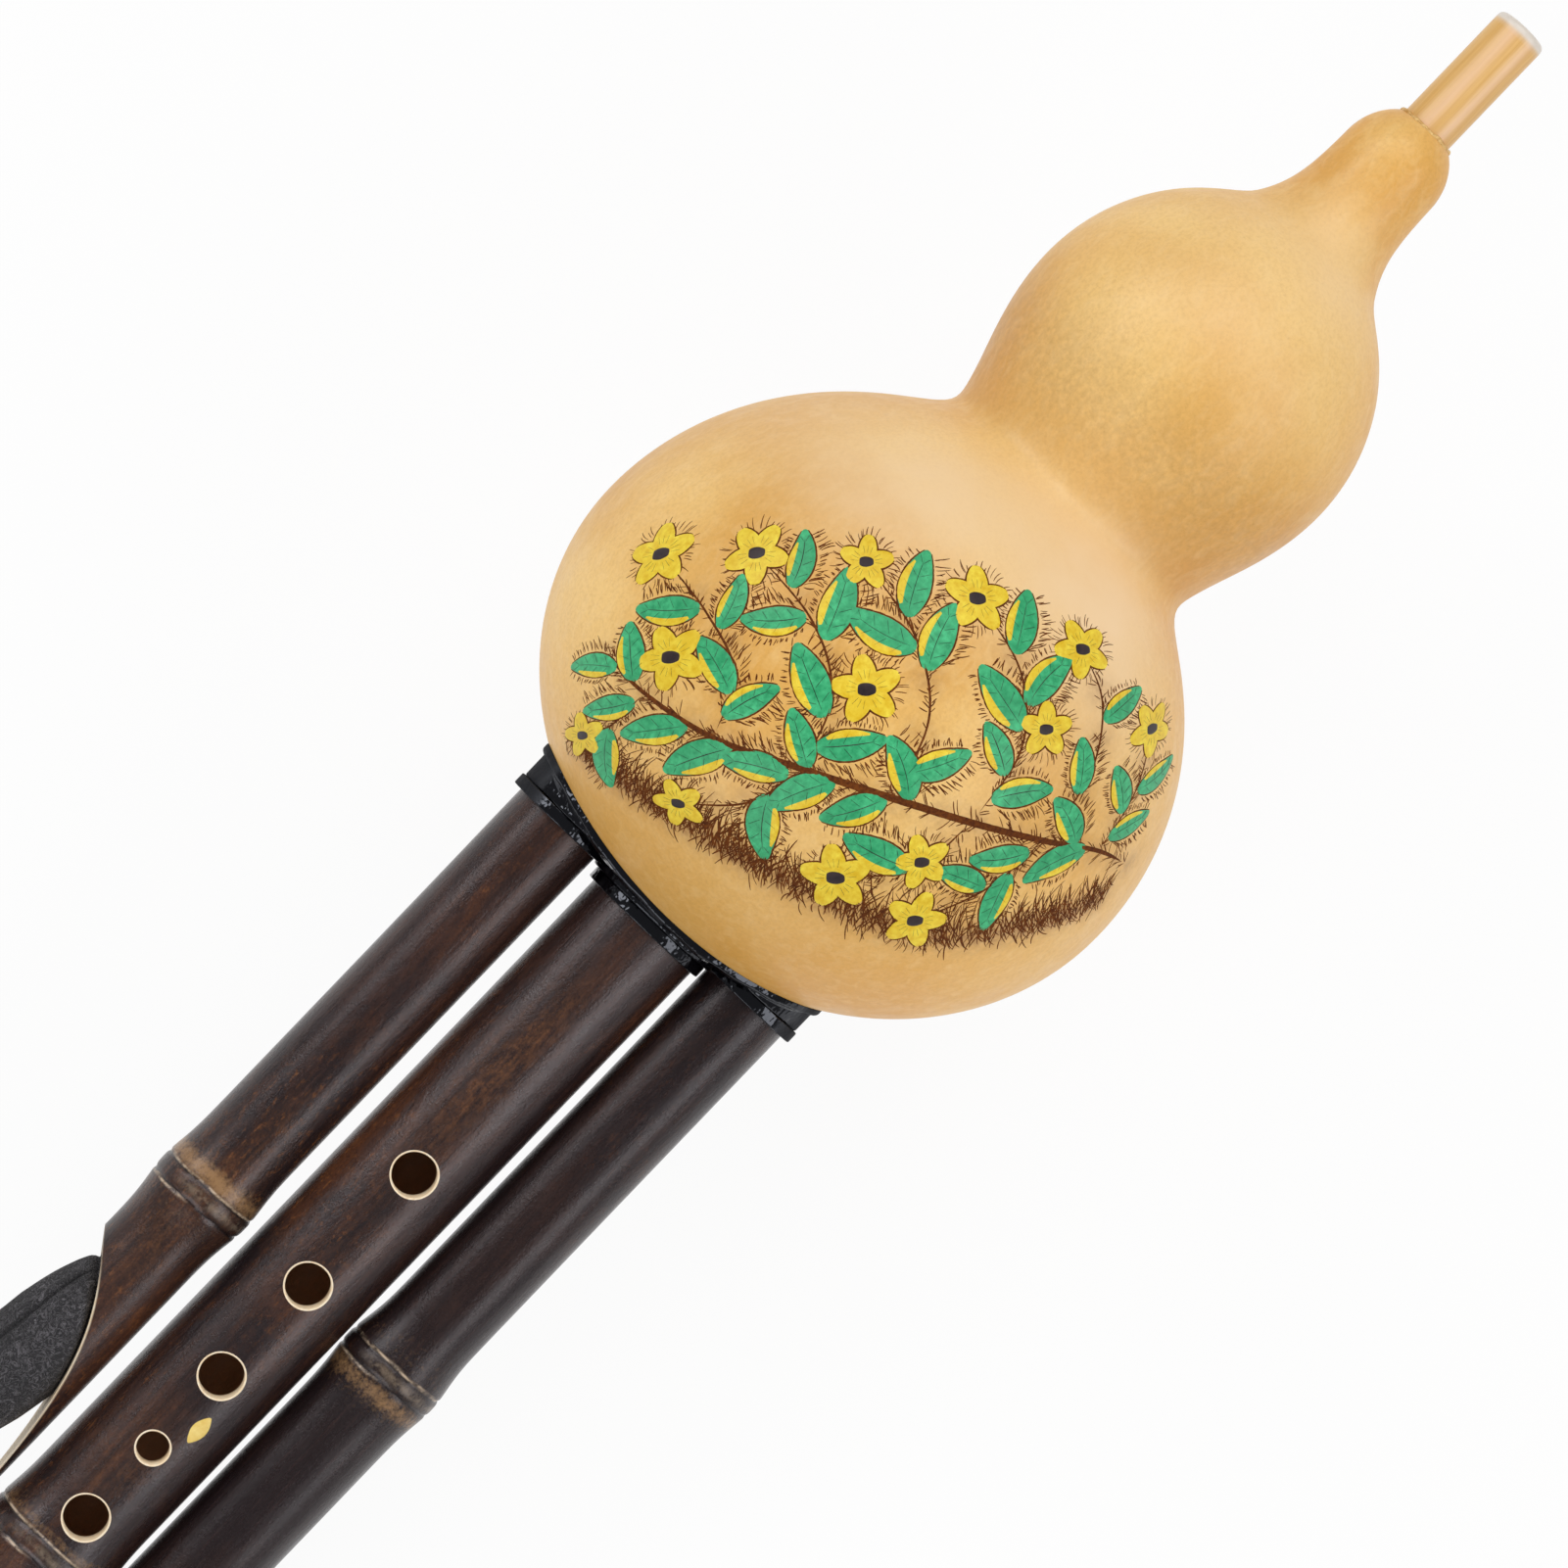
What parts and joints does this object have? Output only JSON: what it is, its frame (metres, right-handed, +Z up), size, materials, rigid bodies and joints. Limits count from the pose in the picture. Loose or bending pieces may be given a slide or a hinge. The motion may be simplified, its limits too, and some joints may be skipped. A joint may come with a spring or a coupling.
{
  "type": "gourd flute",
  "caption": "Gourd flute lying on its back: two-lobed gourd wind chest, oval base, melody pipe with finger holes, plain drone and curved-cut drone with soft mute plugs.",
  "frame": {"origin": "on the table under the middle of the part's box, the flute lying on its back on the gourd, the end of the melody pipe and the end of the right drone", "axes": "+X towards the mouthpiece, +Z up, the left drone on the +Y side; the flute's own axis leans 8.5 degrees up towards the mouthpiece and is rolled 6.9 degrees onto the right drone"},
  "size_m": [0.416, 0.0998, 0.0994],
  "materials": {
    "gourd": "varnished, satin",
    "mouthpiece": "bare bamboo, smooth",
    "base_plastic": "glossy black moulding",
    "dark_bamboo": "stained and polished",
    "cork": "matt",
    "reed_bamboo": "bare",
    "reed_brass": "brushed",
    "plug_foam": "matt, fine texture"
  },
  "bodies": {
    "wind_chest": {"gourd_shell": "gourd", "mouthpiece_tube": "mouthpiece", "base_socket": "base_plastic", "main_collar": "base_plastic", "left_collar": "base_plastic", "right_collar": "base_plastic"},
    "melody_pipe": {"main_pipe": "dark_bamboo", "main_tenon_cork": "cork", "main_reed_tube": "reed_bamboo", "main_reed_plate": "reed_brass", "main_reed_stopper": "cork"},
    "left_drone_pipe": {"left_drone": "dark_bamboo", "left_tenon_cork": "cork", "left_reed_tube": "reed_bamboo", "left_reed_plate": "reed_brass", "left_reed_stopper": "cork"},
    "right_drone_pipe": {"right_drone": "dark_bamboo", "right_tenon_cork": "cork", "right_reed_tube": "reed_bamboo", "right_reed_plate": "reed_brass", "right_reed_stopper": "cork"},
    "left_plug": {"left_mute_plug": "plug_foam"},
    "right_plug": {"right_mute_plug": "plug_foam"}
  },
  "joints": [
    {"name": "melody_pipe_slide", "type": "slide", "parent": "wind_chest", "child": "melody_pipe", "axis": [-0.9891, 0, -0.1475], "range_m": [0, 0.0165]},
    {"name": "left_drone_slide", "type": "slide", "parent": "wind_chest", "child": "left_drone_pipe", "axis": [-0.9891, 0, -0.1475], "range_m": [0, 0.014]},
    {"name": "right_drone_slide", "type": "slide", "parent": "wind_chest", "child": "right_drone_pipe", "axis": [-0.9891, 0, -0.1475], "range_m": [0, 0.014]},
    {"name": "left_plug_slide", "type": "slide", "parent": "left_drone_pipe", "child": "left_plug", "axis": [-0.9891, 0, -0.1475], "range_m": [0, 0.01]},
    {"name": "right_plug_slide", "type": "slide", "parent": "right_drone_pipe", "child": "right_plug", "axis": [-0.9891, 0, -0.1475], "range_m": [0, 0.01]}
  ]
}
